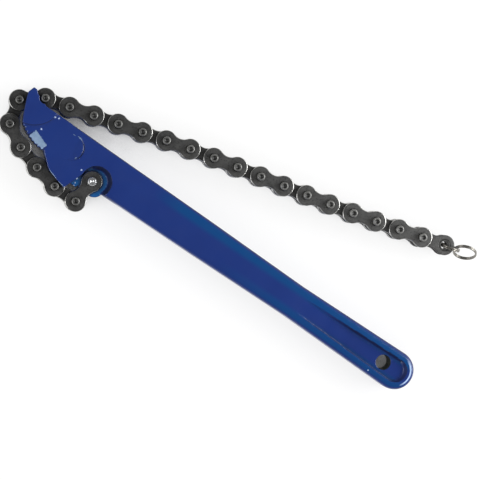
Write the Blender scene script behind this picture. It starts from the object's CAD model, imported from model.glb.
"""Looks of the chain pipe wrench: an enamelled forging, an oiled steel chain and nickel rings."""
import math
from collections import namedtuple

import bmesh
import bpy
from mathutils import Matrix, Vector


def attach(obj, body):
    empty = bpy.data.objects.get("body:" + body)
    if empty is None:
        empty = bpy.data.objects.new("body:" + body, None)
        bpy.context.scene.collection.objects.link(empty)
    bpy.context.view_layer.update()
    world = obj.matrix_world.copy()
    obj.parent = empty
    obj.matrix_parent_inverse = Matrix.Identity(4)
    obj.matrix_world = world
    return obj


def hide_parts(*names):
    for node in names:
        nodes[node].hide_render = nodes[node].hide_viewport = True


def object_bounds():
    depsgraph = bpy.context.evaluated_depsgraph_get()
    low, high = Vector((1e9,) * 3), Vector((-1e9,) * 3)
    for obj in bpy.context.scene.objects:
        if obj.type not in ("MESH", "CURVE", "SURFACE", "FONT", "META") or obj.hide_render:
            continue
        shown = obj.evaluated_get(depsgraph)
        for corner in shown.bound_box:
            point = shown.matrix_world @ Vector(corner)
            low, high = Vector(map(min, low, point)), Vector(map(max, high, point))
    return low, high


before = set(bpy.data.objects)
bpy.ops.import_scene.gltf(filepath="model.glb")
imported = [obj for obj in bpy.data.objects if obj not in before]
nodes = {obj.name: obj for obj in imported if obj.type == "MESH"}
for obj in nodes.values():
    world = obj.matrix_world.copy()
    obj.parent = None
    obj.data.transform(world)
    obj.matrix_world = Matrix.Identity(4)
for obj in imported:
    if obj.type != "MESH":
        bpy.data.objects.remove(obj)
cad_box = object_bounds()
scene = bpy.context.scene

MM = 0.001

# The photograph's own directions on the floor, and the point in its middle
IMAGE_RIGHT = Vector((0.8244, 0.5660, 0))
IMAGE_UP = Vector((-0.5660, 0.8244, 0))
IMAGE_MIDDLE = Vector((-120.3, 12.6, 8)) * MM
FRAME_WIDTH = 301 * MM

# The camera stands to the left of the picture's middle, where the hang hole's far rim shows it
CAMERA_DISTANCE = 1150 * MM
CAMERA_LEFT = math.radians(8)
CAMERA_DOWN = math.radians(-1.7)
CAMERA_ROLL = math.radians(0.15)
SENSOR_WIDTH = 36

# The room's even light, what a gloss shows of it low down and overhead, and the paper's own white
ROOM_LIGHT = 0.8
ROOM_LOW = 1.1
ROOM_OVERHEAD = 0.1
PAPER_GLOW = 0.75
FLOOR_HALF = 2500 * MM

# Edge roundings of the steel parts, for edges sharper than the angle
PLATE_EDGE = 0.55 * MM
PIN_EDGE = 0.16 * MM
BUSH_EDGE = 0.12 * MM
ROUNDING_STEPS = 3
ROUNDED_ANGLE = math.radians(35)
WELD_DISTANCE = 0.001 * MM

# Slope of the dimple in a pin's end, as its normal's height
DIMPLE_STEEP = math.cos(math.radians(34))
DIMPLE_FLAT = math.cos(math.radians(16))

# The forging's skin is rebuilt on this grid and relaxed, which rounds its edges as a die does
SKIN_GRID = 0.4 * MM
SKIN_PASSES = 3
SKIN_RELAX = 0.5
SKIN_KEEP = 0.5

# The grip: half its thickness, a height that only its faces lie above, and the centre of its round end
GRIP_HALF_T = 9 * MM
FACES_ABOVE_Z = 5 * MM
END_X = 8.8

# The grip's faces are crowned by this much at their edges, from the middle of the handle on
CROWN_DROP = 1.1 * MM
CROWN_FROM_X = -185 * MM
CROWN_FULL_X = -120 * MM
CROWN_FLAT_Y = 5 * MM
CROWN_EDGE_Y = 12 * MM

# The sunk panel: where it starts and is deep, its half width there, the low step at its start,
# and the slope of its upper wall
PANEL_FROM_X = -66 * MM
PANEL_DEEP_X = -28 * MM
PANEL_HALF_W = 5.2 * MM
PANEL_SPREAD = 0.031
PANEL_STEP = 0.38 * MM
PANEL_FACE_Z = 9.37 * MM
PANEL_SLOPE = 1.4 * MM

# Walls that the die's draft leaves sloping, in millimetres and degrees: the arc that they stand on,
# the sector they slope in, the height of the face above them, their slope's width and the lip past its foot
Wall = namedtuple("Wall", "centre radius sector face slope lip")
POCKET_WALL = Wall((-215.3, -8.0), 9.6, (-40, 140), 10.5, 2.2, 0.0)
FIELD_WALL = Wall((-239.5, 0.8), 8.0, (-45, 75), 10.3, 1.0, 0.9)
PANEL_END_WALL = Wall((END_X, 0.0), 7.5, (-60, 90), 9.0, 1.8, 0.0)
WALL_REACH = 6 * MM
SECTOR_FADE = 25

# The rim of the round end, rubbed bright in the sector it is handled by
RUBBED_CENTRE = Vector((END_X, 0, 0)) * MM
RUBBED_RADIUS = 10 * MM
RUBBED_TOWARDS = Vector((math.cos(math.radians(15)), math.sin(math.radians(15)), 0))

# Chips in the enamel, in millimetres: where they lie on the upper face, and how wide they are
CHIPS = (
    ((-258.4, 10.6), 0.55), ((-256.0, 11.4), 0.5), ((-261.4, -0.3), 0.5), ((-226.8, -7.2), 0.45),
    ((-225.3, -17.6), 0.5), ((-225.5, -15.7), 0.45), ((-225.9, -12.9), 0.5), ((-5.9, -9.6), 0.35),
)

# The hang hole's wall: within this radius, and with a normal lower than this
BORE_RADIUS = 5.2 * MM
BORE_TILT = 0.5

# Slope of the ground strip beside the teeth, as its upward normal
GROUND_NORMAL = Vector((-0.121, -0.320, 0.940))
GROUND_TOLERANCE = math.cos(math.radians(7))
GROUND_BEHIND_X = -225 * MM


def linear(code):
    """An sRGB hex colour as linear RGBA."""
    channels = [int(code[i:i + 2], 16) / 255 for i in (1, 3, 5)]
    curve = [c / 12.92 if c <= 0.04045 else ((c + 0.055) / 1.055) ** 2.4 for c in channels]
    return (*curve, 1.0)


def per_mm(size):
    """Scale of a pattern, in object coordinates, whose features are size millimetres wide."""
    return 1 / (size * MM)


def add(tree, kind, sockets=None, **settings):
    """Adds one shader node. A socket takes a value, or another node's output to link."""
    made = tree.nodes.new(kind)
    for name, value in settings.items():
        setattr(made, name, value)
    for name, value in (sockets or {}).items():
        if isinstance(value, bpy.types.NodeSocket):
            tree.links.new(value, made.inputs[name])
        else:
            made.inputs[name].default_value = value
    return made


def new_material(name):
    """An empty material with its shader and its object coordinates."""
    material = bpy.data.materials.new(name)
    material.use_nodes = True
    tree = material.node_tree
    tree.nodes.clear()
    shader = add(tree, "ShaderNodeBsdfPrincipled")
    add(tree, "ShaderNodeOutputMaterial", {"Surface": shader.outputs["BSDF"]})
    place = add(tree, "ShaderNodeTexCoord").outputs["Object"]
    return material, tree, shader, place


def sprayed_blue(tree, place, flat_face):
    """Deep blue that drifts a little, thin and greenish along the grip's edges, paler on the lug."""
    drift = add(tree, "ShaderNodeTexNoise", {"Vector": place, "Scale": per_mm(26), "Detail": 3.0})
    blue = add(tree, "ShaderNodeMix", {
        "Factor": drift.outputs["Fac"], 6: linear("#172A66"), 7: linear("#1D3474")}, data_type="RGBA")
    where = add(tree, "ShaderNodeSeparateXYZ", {"Vector": place})
    aside = add(tree, "ShaderNodeMath", {0: where.outputs["Y"]}, operation="ABSOLUTE")
    rim = add(tree, "ShaderNodeMapRange", {
        "Value": aside.outputs[0], "From Min": 3.5 * MM, "From Max": 6.5 * MM})
    upper = add(tree, "ShaderNodeMapRange", {
        "Value": where.outputs["X"], "From Min": -182 * MM, "From Max": -162 * MM, "To Max": 0.95})
    lower = add(tree, "ShaderNodeMapRange", {
        "Value": where.outputs["X"], "From Min": -125 * MM, "From Max": -75 * MM, "To Max": 0.8})
    side = add(tree, "ShaderNodeMapRange", {
        "Value": where.outputs["Y"], "From Min": -1 * MM, "From Max": 1 * MM})
    length = add(tree, "ShaderNodeMix", {
        "Factor": side.outputs["Result"], "A": lower.outputs["Result"], "B": upper.outputs["Result"]},
        data_type="FLOAT")
    band = add(tree, "ShaderNodeMath", {
        0: rim.outputs["Result"], 1: length.outputs["Result"]}, operation="MULTIPLY")
    thin = add(tree, "ShaderNodeMath", {0: flat_face, 1: band.outputs[0]}, operation="MULTIPLY")
    edged = add(tree, "ShaderNodeMix", {
        "Factor": thin.outputs[0], 6: blue.outputs[2], 7: linear("#0A3D72")}, data_type="RGBA")
    depth = add(tree, "ShaderNodeMath", {0: where.outputs["Z"]}, operation="ABSOLUTE")
    sunk = add(tree, "ShaderNodeMapRange", {
        "Value": depth.outputs[0], "From Min": 5.6 * MM, "From Max": 5.1 * MM, "To Max": 0.9})
    lug = add(tree, "ShaderNodeMath", {0: flat_face, 1: sunk.outputs["Result"]}, operation="MULTIPLY")
    lugged = add(tree, "ShaderNodeMix", {
        "Factor": lug.outputs[0], 6: edged.outputs[2], 7: linear("#175A98")}, data_type="RGBA")
    return lugged.outputs[2]


def steep_share(tree, place, level):
    """How much a wall is shaded for its slope. The shank's lower long edges stay clean."""
    where = add(tree, "ShaderNodeSeparateXYZ", {"Vector": place})
    low_side = add(tree, "ShaderNodeMapRange", {
        "Value": where.outputs["Y"], "From Min": -9 * MM, "From Max": -10.5 * MM})
    shank = add(tree, "ShaderNodeMapRange", {
        "Value": where.outputs["X"], "From Min": -205 * MM, "From Max": -195 * MM})
    low_edge = add(tree, "ShaderNodeMath", {
        0: low_side.outputs["Result"], 1: shank.outputs["Result"]}, operation="MULTIPLY")
    shade = add(tree, "ShaderNodeMapRange", {"Value": low_edge.outputs[0], "To Min": 0.85, "To Max": 0.0})
    steep = add(tree, "ShaderNodeMapRange", {
        "Value": level, "From Min": 0.8, "From Max": 0.4, "To Max": shade.outputs["Result"]})
    return steep.outputs["Result"]


def darkened_walls(tree, colour, grime, steep, level):
    """Near black in dirty corners and on sloping walls, and plain blue again on upright flanks."""
    soiled = add(tree, "ShaderNodeMix", {"Factor": grime, 6: colour, 7: linear("#060C1C")}, data_type="RGBA")
    walls = add(tree, "ShaderNodeMix", {
        "Factor": steep, 6: soiled.outputs[2], 7: linear("#060E30")}, data_type="RGBA")
    upright = add(tree, "ShaderNodeMapRange", {"Value": level, "From Min": 0.3, "From Max": 0.1})
    flank = add(tree, "ShaderNodeMix", {
        "Factor": upright.outputs["Result"], 6: walls.outputs[2], 7: linear("#1B387C")}, data_type="RGBA")
    return flank.outputs[2]


def rubbed_rim(tree, place, colour, flat_face):
    """A pale line round the handle's end, where hands rub it."""
    flat = add(tree, "ShaderNodeVectorMath", {0: place, 1: (1, 1, 0)}, operation="MULTIPLY")
    reach = add(tree, "ShaderNodeVectorMath", {
        0: flat.outputs["Vector"], 1: RUBBED_CENTRE}, operation="DISTANCE")
    off_rim = add(tree, "ShaderNodeMath", {
        0: reach.outputs["Value"], 1: RUBBED_RADIUS}, operation="SUBTRACT")
    rim_line = add(tree, "ShaderNodeMath", {0: off_rim.outputs[0]}, operation="ABSOLUTE")
    rubbed = add(tree, "ShaderNodeMapRange", {
        "Value": rim_line.outputs[0], "From Min": 0.6 * MM, "From Max": 0.25 * MM})
    sector = add(tree, "ShaderNodeVectorMath", {0: place, 1: RUBBED_TOWARDS}, operation="DOT_PRODUCT")
    outermost = add(tree, "ShaderNodeMapRange", {
        "Value": sector.outputs["Value"], "From Min": 14 * MM, "From Max": 17 * MM})
    handled = add(tree, "ShaderNodeMath", {
        0: rubbed.outputs["Result"], 1: outermost.outputs["Result"]}, operation="MULTIPLY")
    on_face = add(tree, "ShaderNodeMath", {0: handled.outputs[0], 1: flat_face}, operation="MULTIPLY")
    worn = add(tree, "ShaderNodeMix", {
        "Factor": on_face.outputs[0], 6: colour, 7: linear("#A9C0E2")}, data_type="RGBA")
    return worn.outputs[2]


def chipped(tree, place, colour, upward):
    """Small frayed chips in the upper face, pale where the metal shows."""
    flat = add(tree, "ShaderNodeVectorMath", {0: place, 1: (1, 1, 0)}, operation="MULTIPLY")
    ragged = add(tree, "ShaderNodeTexNoise", {"Vector": place, "Scale": per_mm(0.8), "Detail": 2.0})
    frayed = add(tree, "ShaderNodeMapRange", {
        "Value": ragged.outputs["Fac"], "To Min": -0.7 * MM, "To Max": 0.7 * MM})
    above = add(tree, "ShaderNodeMapRange", {"Value": upward, "From Min": 0.4, "From Max": 0.6})
    for centre, width in CHIPS:
        reach = add(tree, "ShaderNodeVectorMath", {
            0: flat.outputs["Vector"], 1: Vector((*centre, 0)) * MM}, operation="DISTANCE")
        edge = add(tree, "ShaderNodeMath", {
            0: reach.outputs["Value"], 1: frayed.outputs["Result"]}, operation="ADD")
        bare = add(tree, "ShaderNodeMapRange", {
            "Value": edge.outputs[0], "From Min": (width + 0.1) * MM, "From Max": (width - 0.2) * MM})
        bared = add(tree, "ShaderNodeMath", {
            0: bare.outputs["Result"], 1: above.outputs["Result"]}, operation="MULTIPLY")
        colour = add(tree, "ShaderNodeMix", {
            "Factor": bared.outputs[0], 6: colour, 7: linear("#B4C5E2")}, data_type="RGBA").outputs[2]
    return colour


def sprayed_relief(tree, place):
    """The forging's slow waves under the enamel, a few pimples in it, and the spray's fine peel."""
    wave = add(tree, "ShaderNodeTexNoise", {"Vector": place, "Scale": per_mm(6), "Detail": 2.0})
    hammer = add(tree, "ShaderNodeBump", {
        "Height": wave.outputs["Fac"], "Strength": 0.6, "Distance": 0.08 * MM})
    cells = add(tree, "ShaderNodeTexVoronoi", {"Vector": place, "Scale": per_mm(22)})
    pimple = add(tree, "ShaderNodeMapRange", {
        "Value": cells.outputs["Distance"], "From Max": 0.035, "To Min": 1.0, "To Max": 0.0})
    dust = add(tree, "ShaderNodeBump", {
        "Height": pimple.outputs["Result"], "Strength": 1.0, "Distance": 0.5 * MM,
        "Normal": hammer.outputs["Normal"]})
    grain = add(tree, "ShaderNodeTexNoise", {"Vector": place, "Scale": per_mm(0.9), "Detail": 2.0})
    peel = add(tree, "ShaderNodeBump", {
        "Height": grain.outputs["Fac"], "Strength": 0.5, "Distance": 0.02 * MM,
        "Normal": dust.outputs["Normal"]})
    return peel.outputs["Normal"]


# Enamel, sprayed and baked on a forging: deep glossy blue, dull and dark where dirt lies, pale where worn
def baked_blue_enamel():
    material, tree, shader, place = new_material("baked_blue_enamel")
    normal = add(tree, "ShaderNodeTexCoord").outputs["Normal"]
    upward = add(tree, "ShaderNodeSeparateXYZ", {"Vector": normal}).outputs["Z"]
    level = add(tree, "ShaderNodeMath", {0: upward}, operation="ABSOLUTE").outputs[0]
    flat_face = add(tree, "ShaderNodeMapRange", {
        "Value": level, "From Min": 0.8, "From Max": 0.95}).outputs["Result"]
    corner = add(tree, "ShaderNodeAmbientOcclusion", {"Distance": 2 * MM}, samples=8)
    grime = add(tree, "ShaderNodeMapRange", {
        "Value": corner.outputs["AO"], "From Min": 0.4, "From Max": 0.92,
        "To Min": 1.0, "To Max": 0.0}).outputs["Result"]
    steep = steep_share(tree, place, level)
    colour = sprayed_blue(tree, place, flat_face)
    colour = darkened_walls(tree, colour, grime, steep, level)
    colour = rubbed_rim(tree, place, colour, flat_face)
    colour = chipped(tree, place, colour, upward)
    tree.links.new(colour, shader.inputs["Base Color"])
    film = add(tree, "ShaderNodeTexNoise", {"Vector": place, "Scale": per_mm(9), "Detail": 4.0})
    smear = add(tree, "ShaderNodeMapRange", {"Value": film.outputs["Fac"], "To Min": 0.15, "To Max": 0.3})
    dulled = add(tree, "ShaderNodeMath", {
        0: grime, 1: 0.6, 2: smear.outputs["Result"]}, operation="MULTIPLY_ADD")
    dry = add(tree, "ShaderNodeMath", {
        0: steep, 1: 0.6, 2: dulled.outputs[0]}, operation="MULTIPLY_ADD", use_clamp=True)
    tree.links.new(dry.outputs[0], shader.inputs["Roughness"])
    tree.links.new(sprayed_relief(tree, place), shader.inputs["Normal"])
    shader.inputs["IOR"].default_value = 1.5
    shader.inputs["Specular IOR Level"].default_value = 0.35
    shader.inputs["Coat Weight"].default_value = 0.2
    shader.inputs["Coat Roughness"].default_value = 0.06
    return material


# Steel ground to a bevel and thinly lacquered: pale blue grey, with grinding lines drawn coarse to show
def ground_steel_under_lacquer():
    material, tree, shader, place = new_material("ground_steel_under_lacquer")
    blotch = add(tree, "ShaderNodeTexNoise", {"Vector": place, "Scale": per_mm(2.2), "Detail": 4.0})
    tone = add(tree, "ShaderNodeMix", {
        "Factor": blotch.outputs["Fac"], 6: linear("#5A7699"), 7: linear("#8CA3BC")}, data_type="RGBA")
    tree.links.new(tone.outputs[2], shader.inputs["Base Color"])
    along = add(tree, "ShaderNodeMapping", {"Vector": place, "Scale": (0.15, 1, 1)})
    lines = add(tree, "ShaderNodeTexNoise", {
        "Vector": along.outputs["Vector"], "Scale": per_mm(0.35), "Detail": 3.0})
    grind = add(tree, "ShaderNodeBump", {
        "Height": lines.outputs["Fac"], "Strength": 0.4, "Distance": 0.03 * MM})
    tree.links.new(grind.outputs["Normal"], shader.inputs["Normal"])
    shader.inputs["Metallic"].default_value = 0.35
    shader.inputs["Roughness"].default_value = 0.4
    return material


# Steel, blanked, tumbled and oiled: dark grey, blotched and pitted, greasy in corners, drier to the chain's
# free end. Its pits and dents are drawn coarse to show.
def oiled_steel(name, dark, light, roughness, metal):
    material, tree, shader, place = new_material(name)
    film = add(tree, "ShaderNodeTexNoise", {
        "Vector": place, "Scale": per_mm(5), "Detail": 4.0, "Roughness": 0.6})
    where = add(tree, "ShaderNodeSeparateXYZ", {"Vector": place})
    drier = add(tree, "ShaderNodeMapRange", {
        "Value": where.outputs["X"], "From Min": -280 * MM, "From Max": 40 * MM,
        "To Min": -0.22, "To Max": 0.45})
    wet = add(tree, "ShaderNodeMath", {
        0: film.outputs["Fac"], 1: drier.outputs["Result"]}, operation="ADD", use_clamp=True)
    tone = add(tree, "ShaderNodeMix", {
        "Factor": wet.outputs[0], 6: linear(dark), 7: linear(light)}, data_type="RGBA")
    pits = add(tree, "ShaderNodeTexNoise", {"Vector": place, "Scale": per_mm(0.9), "Detail": 3.0})
    speck = add(tree, "ShaderNodeMapRange", {
        "Value": pits.outputs["Fac"], "From Min": 0.56, "From Max": 0.7, "To Max": 0.6})
    pitted = add(tree, "ShaderNodeMix", {
        "Factor": speck.outputs["Result"], 6: tone.outputs[2], 7: linear("#141413")}, data_type="RGBA")
    corner = add(tree, "ShaderNodeAmbientOcclusion", {"Distance": 3 * MM}, samples=8)
    grease = add(tree, "ShaderNodeMapRange", {
        "Value": corner.outputs["AO"], "From Min": 0.25, "From Max": 0.8, "To Min": 0.85, "To Max": 0.0})
    soiled = add(tree, "ShaderNodeMix", {
        "Factor": grease.outputs["Result"], 6: pitted.outputs[2], 7: linear("#0C0C0B")}, data_type="RGBA")
    tree.links.new(soiled.outputs[2], shader.inputs["Base Color"])
    wiped = add(tree, "ShaderNodeTexNoise", {"Vector": place, "Scale": per_mm(3), "Detail": 3.0})
    gloss = add(tree, "ShaderNodeMapRange", {
        "Value": wiped.outputs["Fac"], "To Min": roughness - 0.1, "To Max": roughness + 0.12})
    tree.links.new(gloss.outputs["Result"], shader.inputs["Roughness"])
    dents = add(tree, "ShaderNodeTexNoise", {"Vector": place, "Scale": per_mm(1.1), "Detail": 4.0})
    tumbled = add(tree, "ShaderNodeBump", {
        "Height": dents.outputs["Fac"], "Strength": 0.7, "Distance": 0.09 * MM})
    tree.links.new(tumbled.outputs["Normal"], shader.inputs["Normal"])
    shader.inputs["Metallic"].default_value = metal
    return material


# Bright plated steel: pale and mirror-like, with handling marks drawn coarse to show
def plated_steel(name, dark, light, roughness):
    material, tree, shader, place = new_material(name)
    cloud = add(tree, "ShaderNodeTexNoise", {"Vector": place, "Scale": per_mm(1.5), "Detail": 3.0})
    tone = add(tree, "ShaderNodeMix", {
        "Factor": cloud.outputs["Fac"], 6: linear(dark), 7: linear(light)}, data_type="RGBA")
    tree.links.new(tone.outputs[2], shader.inputs["Base Color"])
    rub = add(tree, "ShaderNodeTexNoise", {"Vector": place, "Scale": per_mm(0.8), "Detail": 4.0})
    marks = add(tree, "ShaderNodeMapRange", {
        "Value": rub.outputs["Fac"], "To Min": roughness, "To Max": roughness + 0.14})
    tree.links.new(marks.outputs["Result"], shader.inputs["Roughness"])
    ripple = add(tree, "ShaderNodeBump", {
        "Height": rub.outputs["Fac"], "Strength": 0.4, "Distance": 0.012 * MM})
    tree.links.new(ripple.outputs["Normal"], shader.inputs["Normal"])
    shader.inputs["Metallic"].default_value = 0.8
    return material


# Matt white studio paper: lit to white in the open, it keeps the shadow and is dark in narrow gaps
def white_paper():
    material, tree, shader, _ = new_material("white_paper")
    shader.inputs["Roughness"].default_value = 0.9
    cover = add(tree, "ShaderNodeAmbientOcclusion", {"Distance": 30 * MM}, samples=8)
    gap = add(tree, "ShaderNodeMapRange", {
        "Value": cover.outputs["AO"], "From Min": 0.04, "From Max": 0.22})
    tone = add(tree, "ShaderNodeMix", {
        "Factor": gap.outputs["Result"], 6: linear("#4A4A4A"), 7: linear("#F4F4F4")}, data_type="RGBA")
    tree.links.new(tone.outputs[2], shader.inputs["Base Color"])
    ray = add(tree, "ShaderNodeLightPath")
    seen = add(tree, "ShaderNodeMath", {
        0: ray.outputs["Is Camera Ray"], 1: ray.outputs["Is Glossy Ray"]}, operation="MAXIMUM")
    shown = add(tree, "ShaderNodeMath", {
        0: seen.outputs[0], 1: ray.outputs["Is Transmission Ray"]}, operation="MAXIMUM")
    open_floor = add(tree, "ShaderNodeMapRange", {
        "Value": cover.outputs["AO"], "From Min": 0.1, "From Max": 0.45,
        "To Min": 0.0, "To Max": PAPER_GLOW})
    glowing = add(tree, "ShaderNodeMath", {
        0: shown.outputs[0], 1: open_floor.outputs["Result"]}, operation="MULTIPLY")
    glow = add(tree, "ShaderNodeEmission", {"Color": (1, 1, 1, 1), "Strength": 1.0})
    paper = add(tree, "ShaderNodeMixShader", {
        0: glowing.outputs[0], 1: shader.outputs["BSDF"], 2: glow.outputs["Emission"]})
    output = tree.get_output_node("ALL")
    tree.links.new(paper.outputs["Shader"], output.inputs["Surface"])
    return material


ENAMEL = baked_blue_enamel()
GROUND_STEEL = ground_steel_under_lacquer()
BLACK_BORE = oiled_steel("black_forging_scale", "#1E2421", "#303833", 0.55, 0.2)
PLATE_STEEL = oiled_steel("oiled_blanked_steel", "#363636", "#686867", 0.42, 0.5)
INNER_STEEL = oiled_steel("oiled_inner_steel", "#303030", "#565655", 0.45, 0.5)
EDGE_STEEL = oiled_steel("burnished_edge_steel", "#A6A6A4", "#DCDBD8", 0.3, 1.0)
PIN_STEEL = oiled_steel("riveted_pin_steel", "#5E5E5D", "#9A9A97", 0.4, 0.7)
DIMPLE_STEEL = oiled_steel("oil_filled_dimple", "#141414", "#2A2A29", 0.4, 0.2)
BRIGHT_PIN = plated_steel("bright_zinc_steel", "#B9BBBC", "#E6E7E8", 0.16)
NICKEL = plated_steel("nickel_plated_wire", "#65625D", "#AAA7A0", 0.2)


def share(value, start, end):
    """How far a value is from start to end, from 0 to 1."""
    return min(max((value - start) / (end - start), 0), 1)


def shade_smooth(mesh):
    """Shades a mesh's faces as one smooth surface."""
    mesh.polygons.foreach_set("use_smooth", [True] * len(mesh.polygons))


def forged_skin(node, name):
    """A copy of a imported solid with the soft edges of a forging, as a piece of its own."""
    skin = bpy.data.objects.new(name, nodes[node].data.copy())
    scene.collection.objects.link(skin)
    mesh = bmesh.new()
    mesh.from_mesh(skin.data)
    bmesh.ops.remove_doubles(mesh, verts=mesh.verts, dist=WELD_DISTANCE)
    mesh.to_mesh(skin.data)
    mesh.free()
    grid = skin.modifiers.new("grid", "REMESH")
    grid.mode = "VOXEL"
    grid.voxel_size = SKIN_GRID
    relax = skin.modifiers.new("relax", "SMOOTH")
    relax.iterations = SKIN_PASSES
    relax.factor = SKIN_RELAX
    thin = skin.modifiers.new("thin", "DECIMATE")
    thin.ratio = SKIN_KEEP
    settled = skin.evaluated_get(bpy.context.evaluated_depsgraph_get())
    skin.data = bpy.data.meshes.new_from_object(settled)
    skin.modifiers.clear()
    skin.data.materials.clear()
    shade_smooth(skin.data)
    return skin


def panel_half(x):
    """Half width of the sunk panel, which widens towards the hang hole."""
    return PANEL_HALF_W + PANEL_SPREAD * (x - PANEL_FROM_X)


def fade_panel(skin):
    """Lets the grip's sunk panels start level with the face, as the die's draft leaves them."""
    for vertex in skin.data.vertices:
        x, y, z = vertex.co
        if PANEL_FROM_X - 2 * SKIN_GRID < x < PANEL_DEEP_X and abs(z) > FACES_ABOVE_Z:
            half = panel_half(x)
            inside = 1 - share(abs(y), half - SKIN_GRID, half + SKIN_GRID)
            lift = PANEL_STEP * inside * (1 - share(x, PANEL_FROM_X, PANEL_DEEP_X))
            vertex.co.z = math.copysign(min(abs(z) + lift, PANEL_FACE_Z), z)


def draft_round_wall(vertex, wall):
    """Raises a vertex near a round wall on to its slope, or on to the lip past the crease at its foot."""
    x, y, z = vertex.co
    out = Vector((x, y)) - Vector(wall.centre) * MM
    inward = wall.radius * MM - out.length
    below = wall.face * MM - abs(z)
    if 0 <= inward < WALL_REACH and 0 < below < WALL_REACH:
        bearing = math.degrees(math.atan2(out.y, out.x))
        start, end = wall.sector
        full = share(bearing, start, start + SECTOR_FADE) * share(bearing, end, end - SECTOR_FADE)
        down = share(inward, 0, wall.slope * MM)
        rise = below * (1 - down)
        lip = wall.lip * MM * down * (1 - share(inward, wall.slope * MM, WALL_REACH))
        vertex.co.z += math.copysign(full * abs(rise - lip), z)


def draft_panel_wall(vertex):
    """Raises a vertex at the foot of the panel's straight upper wall on to the wall's slope."""
    x, y, z = vertex.co
    inward = panel_half(x) - y
    if (0 <= inward < PANEL_SLOPE and PANEL_FROM_X < x < END_X * MM
            and FACES_ABOVE_Z < abs(z) < GRIP_HALF_T):
        vertex.co.z += math.copysign((GRIP_HALF_T - abs(z)) * (1 - inward / PANEL_SLOPE), z)


def draft_walls(skin):
    """Gives the walls of the pocket, the head's field and the panel the slope of a forging die."""
    for vertex in skin.data.vertices:
        for wall in (POCKET_WALL, FIELD_WALL, PANEL_END_WALL):
            draft_round_wall(vertex, wall)
        draft_panel_wall(vertex)


def crown_grip(skin):
    """Lets the grip's two faces fall away towards their long edges."""
    for vertex in skin.data.vertices:
        x, y, z = vertex.co
        fall = share(abs(y), CROWN_FLAT_Y, CROWN_EDGE_Y) ** 2 * share(x, CROWN_FROM_X, CROWN_FULL_X)
        vertex.co.z = z - math.copysign(CROWN_DROP * fall * min(abs(z) / GRIP_HALF_T, 1), z)


def paint_forging(skin):
    """Blue all over, apart from the ground strips beside the teeth and the hang hole's wall."""
    for material in (ENAMEL, GROUND_STEEL, BLACK_BORE):
        skin.data.materials.append(material)
    for face in skin.data.polygons:
        tilt = Vector((face.normal.x, face.normal.y, abs(face.normal.z)))
        if tilt.dot(GROUND_NORMAL) > GROUND_TOLERANCE and face.center.x < GROUND_BEHIND_X:
            face.material_index = 1
        elif face.center.xy.length < BORE_RADIUS and tilt.z < BORE_TILT:
            face.material_index = 2


def dress(node, *materials):
    """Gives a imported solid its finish, and a second one for some of its faces or edges."""
    data = nodes[node].data
    data.materials.clear()
    for material in materials:
        data.materials.append(material)


def round_edges(node, width, edge_slot=-1):
    """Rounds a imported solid's edges with modifiers alone, in a finish of their own if a slot is given."""
    solid = nodes[node]
    if "custom_normal" in solid.data.attributes:
        solid.data.attributes.remove(solid.data.attributes["custom_normal"])
    shade_smooth(solid.data)
    weld = solid.modifiers.new("weld", "WELD")
    weld.merge_threshold = WELD_DISTANCE
    bevel = solid.modifiers.new("edges", "BEVEL")
    bevel.width = width
    bevel.segments = ROUNDING_STEPS
    bevel.limit_method = "ANGLE"
    bevel.angle_limit = ROUNDED_ANGLE
    bevel.use_clamp_overlap = True
    bevel.material = edge_slot
    smooth = solid.modifiers.new("flats", "WEIGHTED_NORMAL")
    smooth.keep_sharp = True


def darken_dimples(node):
    """Puts a pin's second finish on the cones in its ends."""
    for face in nodes[node].data.polygons:
        if DIMPLE_STEEP < abs(face.normal.z) < DIMPLE_FLAT:
            face.material_index = 1


def finish_link(number, last):
    """Plates with burnished edges on pins or bushes. The last link rubs on none, so its edges stay dull."""
    link = f"link_{number:02}"
    outer = number % 2 == 1
    if number == last:
        dress(f"{link}_plates", PLATE_STEEL, INNER_STEEL)
    else:
        dress(f"{link}_plates", PLATE_STEEL if outer else INNER_STEEL, EDGE_STEEL)
    round_edges(f"{link}_plates", PLATE_EDGE, 1)
    if outer:
        dress(f"{link}_pins", PIN_STEEL, DIMPLE_STEEL)
        darken_dimples(f"{link}_pins")
        round_edges(f"{link}_pins", PIN_EDGE)
    else:
        dress(f"{link}_bushes", INNER_STEEL)
        round_edges(f"{link}_bushes", BUSH_EDGE)


forging = forged_skin("handle", "forged_handle")
fade_panel(forging)
draft_walls(forging)
crown_grip(forging)
paint_forging(forging)
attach(forging, "handle")
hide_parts("handle")

link_count = sum(name.endswith("_plates") for name in nodes)
for number in range(1, link_count + 1):
    finish_link(number, link_count)
dress("anchor_pin", BRIGHT_PIN)
round_edges("anchor_pin", PIN_EDGE)
for ring in ("ring_1", "ring_2"):
    dress(ring, NICKEL)
    shade_smooth(nodes[ring].data)


def set_camera():
    """A long lens looks down on the wrench from a little left of the picture's middle."""
    data = bpy.data.cameras.new("camera")
    data.sensor_width = SENSOR_WIDTH
    data.lens = SENSOR_WIDTH * CAMERA_DISTANCE / FRAME_WIDTH
    data.clip_start = 10 * MM
    camera = bpy.data.objects.new("camera", data)
    scene.collection.objects.link(camera)
    back = Vector((0, 0, 1)) - math.tan(CAMERA_LEFT) * IMAGE_RIGHT - math.tan(CAMERA_DOWN) * IMAGE_UP
    back.normalize()
    rolled = math.cos(CAMERA_ROLL) * IMAGE_UP + math.sin(CAMERA_ROLL) * IMAGE_RIGHT
    side = rolled.cross(back).normalized()
    up = back.cross(side)
    turn = Matrix((side, up, back)).transposed().to_4x4()
    camera.matrix_world = Matrix.Translation(IMAGE_MIDDLE + CAMERA_DISTANCE * back) @ turn
    scene.camera = camera


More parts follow.
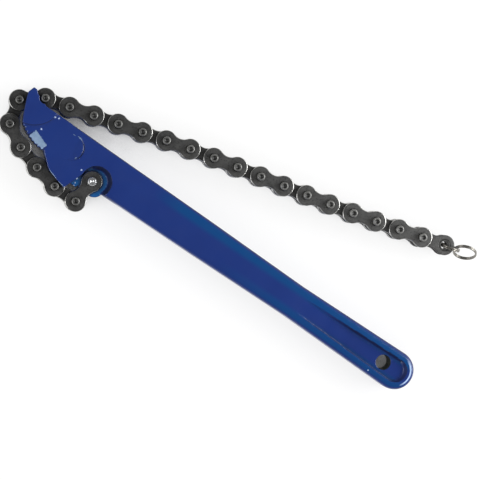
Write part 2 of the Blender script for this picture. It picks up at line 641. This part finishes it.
def softbox(name, right, up, height, size, power):
    """A square lamp, placed in the photograph's directions in metres and aimed at its middle."""
    data = bpy.data.lights.new(name, "AREA")
    data.size = size
    data.energy = power
    lamp = bpy.data.objects.new(name, data)
    scene.collection.objects.link(lamp)
    lamp.location = IMAGE_MIDDLE + right * IMAGE_RIGHT + up * IMAGE_UP + Vector((0, 0, height))
    lamp.rotation_mode = "QUATERNION"
    lamp.rotation_quaternion = (IMAGE_MIDDLE - lamp.location).to_track_quat("-Z", "Y")


def light_room():
    """An even room, which a gloss sees as bright low walls to the right and left and dark overhead."""
    world = bpy.data.worlds.new("studio_room")
    scene.world = world
    world.use_nodes = True
    tree = world.node_tree
    tree.nodes.clear()
    ray = add(tree, "ShaderNodeTexCoord").outputs["Generated"]
    height = add(tree, "ShaderNodeSeparateXYZ", {"Vector": ray}).outputs["Z"]
    falloff = add(tree, "ShaderNodeMapRange", {
        "Value": height, "From Min": 0.15, "From Max": 0.85,
        "To Min": ROOM_LOW, "To Max": ROOM_OVERHEAD})
    rightward = add(tree, "ShaderNodeVectorMath", {
        0: ray, 1: IMAGE_RIGHT}, operation="DOT_PRODUCT").outputs["Value"]
    right_wall = add(tree, "ShaderNodeMapRange", {
        "Value": rightward, "From Min": 0.6, "From Max": 0.95, "To Min": 0.1, "To Max": 1.0})
    left_wall = add(tree, "ShaderNodeMapRange", {
        "Value": rightward, "From Min": -0.3, "From Max": -0.9, "To Min": 0.1, "To Max": 1.0})
    walls = add(tree, "ShaderNodeMath", {
        0: right_wall.outputs["Result"], 1: left_wall.outputs["Result"]}, operation="MAXIMUM")
    lit_side = add(tree, "ShaderNodeMapRange", {
        "Value": rightward, "From Min": -1.0, "From Max": 1.0, "To Min": 0.6, "To Max": 1.3})
    banded = add(tree, "ShaderNodeMath", {
        0: falloff.outputs["Result"], 1: walls.outputs[0]}, operation="MULTIPLY")
    mirrored = add(tree, "ShaderNodeMath", {
        0: banded.outputs[0], 1: lit_side.outputs["Result"]}, operation="MULTIPLY")
    level = add(tree, "ShaderNodeMix", {
        "Factor": add(tree, "ShaderNodeLightPath").outputs["Is Glossy Ray"],
        "A": ROOM_LIGHT, "B": mirrored.outputs[0]}, data_type="FLOAT")
    room = add(tree, "ShaderNodeBackground", {"Color": (1, 1, 1, 1), "Strength": level.outputs["Result"]})
    add(tree, "ShaderNodeOutputWorld", {"Surface": room.outputs["Background"]})


def lay_floor():
    """White paper under the wrench, wide enough for every view."""
    level = cad_box[0].z
    corners = [(x * FLOOR_HALF, y * FLOOR_HALF, level) for x, y in ((-1, -1), (1, -1), (1, 1), (-1, 1))]
    data = bpy.data.meshes.new("floor")
    data.from_pydata(corners, [], [(0, 1, 2, 3)])
    data.materials.append(white_paper())
    floor = bpy.data.objects.new("floor", data)
    scene.collection.objects.link(floor)


set_camera()
softbox("key", right=1.0, up=0.1, height=0.5, size=0.7, power=10)
softbox("fill", right=-0.9, up=-0.2, height=0.6, size=0.6, power=4)
softbox("glint", right=0.85, up=-0.3, height=0.68, size=0.2, power=1.5)
light_room()
lay_floor()
scene.view_settings.view_transform = "Standard"
